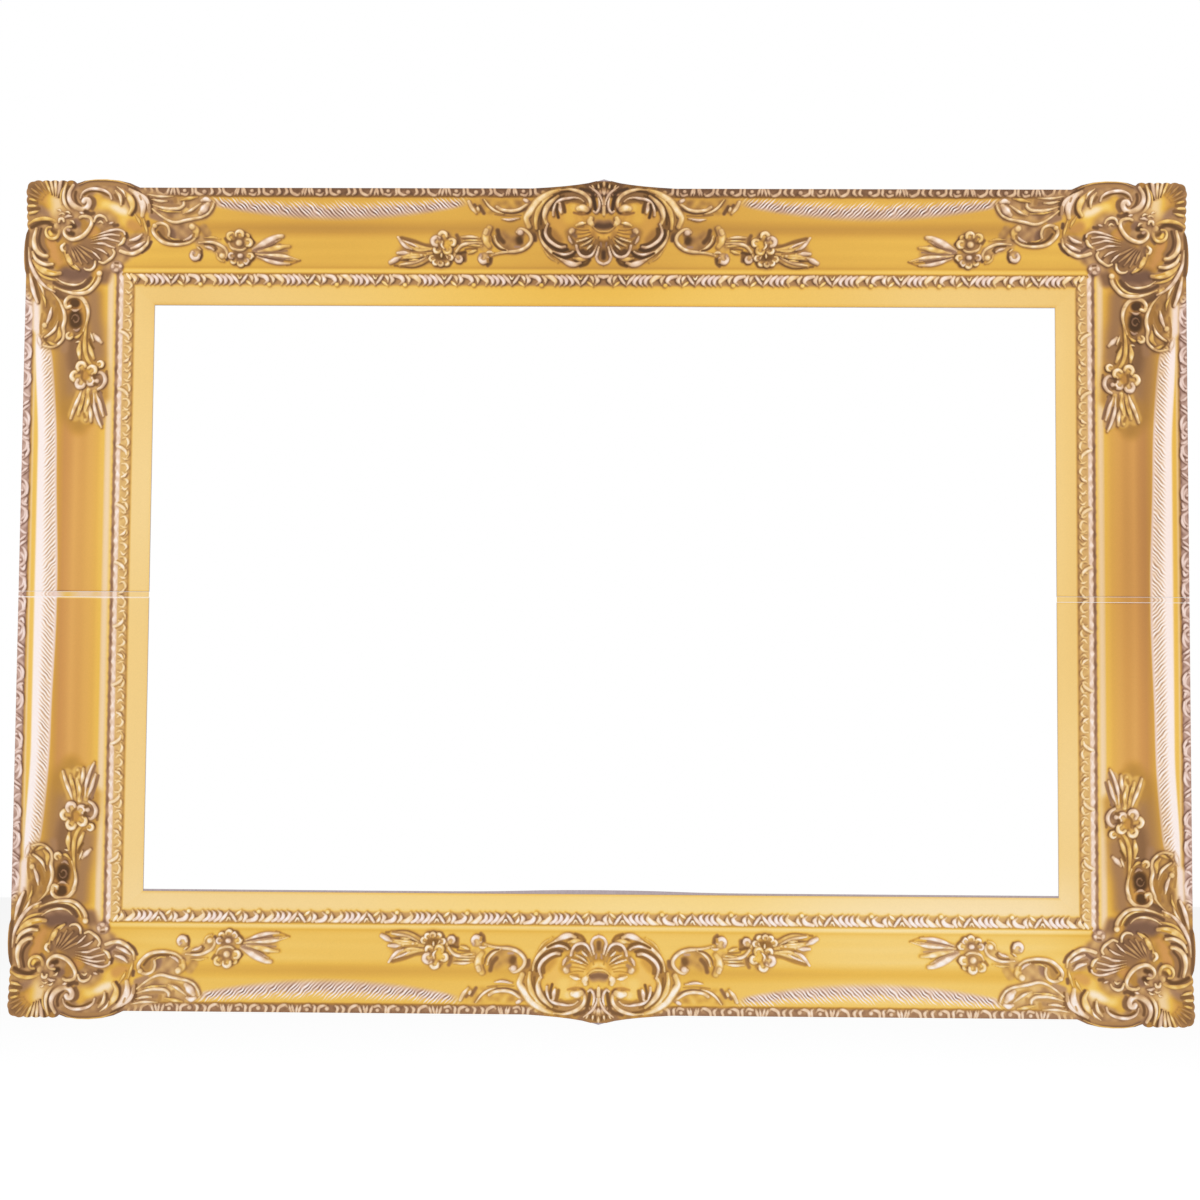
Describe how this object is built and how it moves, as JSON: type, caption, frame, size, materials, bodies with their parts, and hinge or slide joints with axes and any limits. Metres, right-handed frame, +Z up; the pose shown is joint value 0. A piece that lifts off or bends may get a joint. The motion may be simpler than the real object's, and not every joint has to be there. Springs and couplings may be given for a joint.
{
  "type": "photo booth frame",
  "caption": "Hand-held folding photo booth frame: a die-cut laminated board with an open window and a printed gilt scrollwork face, creased across its side rails so that it folds in half.",
  "frame": {"origin": "middle of the card: the centre of its box, halfway through its thickness and on the fold line", "axes": "+X along the long side to the viewer's right, -Y out of the printed face towards the viewer, +Z up"},
  "size_m": [0.8548, 0.0024, 0.616],
  "materials": {
    "print_paper": "semi-gloss printed paper",
    "grey_board": "raw cut grey board",
    "backing_paper": "plain matt white paper"
  },
  "bodies": {
    "upper_half": {"upper_print": "print_paper", "upper_board": "grey_board", "upper_backing": "backing_paper"},
    "hinge_strips": {"left_hinge_face": "print_paper", "left_hinge_back": "backing_paper", "right_hinge_face": "print_paper", "right_hinge_back": "backing_paper"},
    "lower_half": {"lower_print": "print_paper", "lower_board": "grey_board", "lower_backing": "backing_paper"}
  },
  "joints": [
    {"name": "upper_score", "type": "hinge", "parent": "upper_half", "child": "hinge_strips", "pos_m": [0, -0.0005, 0.002], "axis": [1, 0, 0], "range_deg": [0, 90]},
    {"name": "lower_score", "type": "hinge", "parent": "hinge_strips", "child": "lower_half", "pos_m": [0, -0.0005, -0.002], "axis": [1, 0, 0], "range_deg": [0, 90]}
  ],
  "couplings": [
    {"joint": "lower_score", "follows": "upper_score", "ratio": 1}
  ]
}
